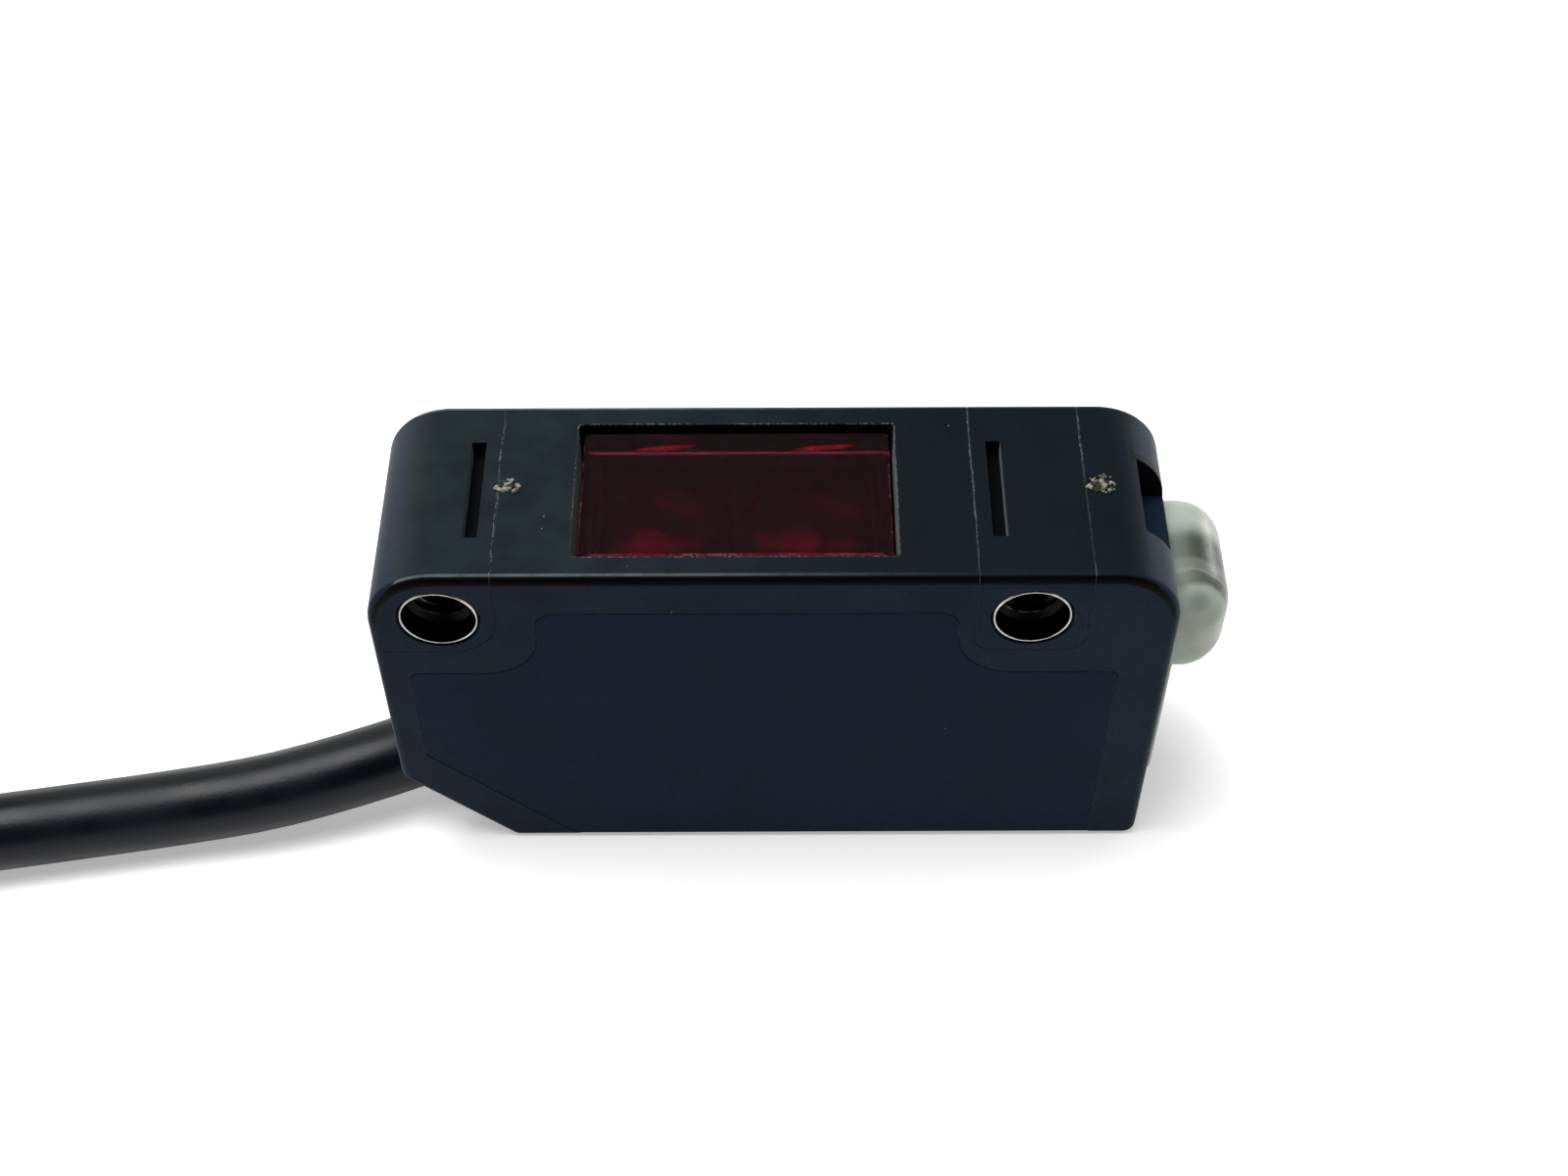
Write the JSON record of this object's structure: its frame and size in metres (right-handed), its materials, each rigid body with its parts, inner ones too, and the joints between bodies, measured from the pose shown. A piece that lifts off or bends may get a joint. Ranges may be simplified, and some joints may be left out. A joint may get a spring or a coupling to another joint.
{
  "type": "photoelectric sensor",
  "caption": "Slim block-shaped photoelectric sensor with a red lens window, threaded corner inserts, a frosted indicator cap, back-face adjusters and a pre-wired lead.",
  "frame": {"origin": "on the back face, midway along the body and midway through its thickness", "axes": "+X along the body to the indicator cap, +Y through the thickness to the plain side, +Z out of the lens window"},
  "size_m": [0.163, 0.0387, 0.0276],
  "materials": {
    "case_black": "moulded, fine matt grain",
    "cover_black": "moulded, fine matt grain",
    "sleeve_steel": "turned, threaded inside",
    "window_red": "clear dark red",
    "seal_rubber": "matt",
    "lens_red": "clear red",
    "chip_black": "matt",
    "lamp_red": "clear",
    "photodiode_black": "gloss",
    "shield_tin": "tinned",
    "board_green": "solder mask",
    "capacitor_ochre": "moulded",
    "frosted_cap": "frosted, translucent",
    "lamp_orange": "clear",
    "lamp_green": "clear",
    "rotor_white": "moulded",
    "control_grey": "moulded",
    "core_brown": "insulated core",
    "core_blue": "insulated core",
    "core_black": "insulated core",
    "core_white": "insulated core",
    "cable_jacket": "matt jacket",
    "strap_black": "woven strap"
  },
  "bodies": {
    "sensor": {"housing": "case_black", "insert_carrier_left": "case_black", "insert_carrier_right": "case_black", "side_cover": "cover_black", "insert_sleeve_left": "sleeve_steel", "insert_sleeve_right": "sleeve_steel", "front_window": "window_red", "window_seal": "seal_rubber", "emitter_lens": "lens_red", "receiver_lens": "lens_red", "optics_holder": "chip_black", "emitter_led": "lamp_red", "receiver_photodiode": "photodiode_black", "receiver_shield": "shield_tin", "circuit_board": "board_green", "control_chip": "chip_black", "output_transistor": "chip_black", "supply_capacitor": "capacitor_ochre", "indicator_cap": "frosted_cap", "indicator_led_output": "lamp_orange", "indicator_led_stability": "lamp_green", "trimmer_body": "control_grey", "trimmer_seal": "seal_rubber", "selector_body": "control_grey", "selector_seal": "seal_rubber", "cable_bushing": "seal_rubber", "wire_brown": "core_brown", "wire_blue": "core_blue", "wire_black": "core_black", "wire_white": "core_white", "cable": "cable_jacket", "cable_hank": "cable_jacket", "hank_tie": "strap_black", "lead_brown": "core_brown", "lead_blue": "core_blue", "lead_black": "core_black", "lead_white": "core_white"},
    "trimmer": {"trimmer_rotor": "rotor_white"},
    "selector": {"selector_rotor": "rotor_white"}
  },
  "joints": [
    {"name": "trimmer_turn", "type": "hinge", "parent": "sensor", "child": "trimmer", "pos_m": [0.011, 0, 0], "axis": [0, 0, 1], "range_deg": [-120, 120]},
    {"name": "selector_turn", "type": "hinge", "parent": "sensor", "child": "selector", "pos_m": [0.0052, 0, 0], "axis": [0, 0, 1], "range_deg": [0, 90]}
  ]
}
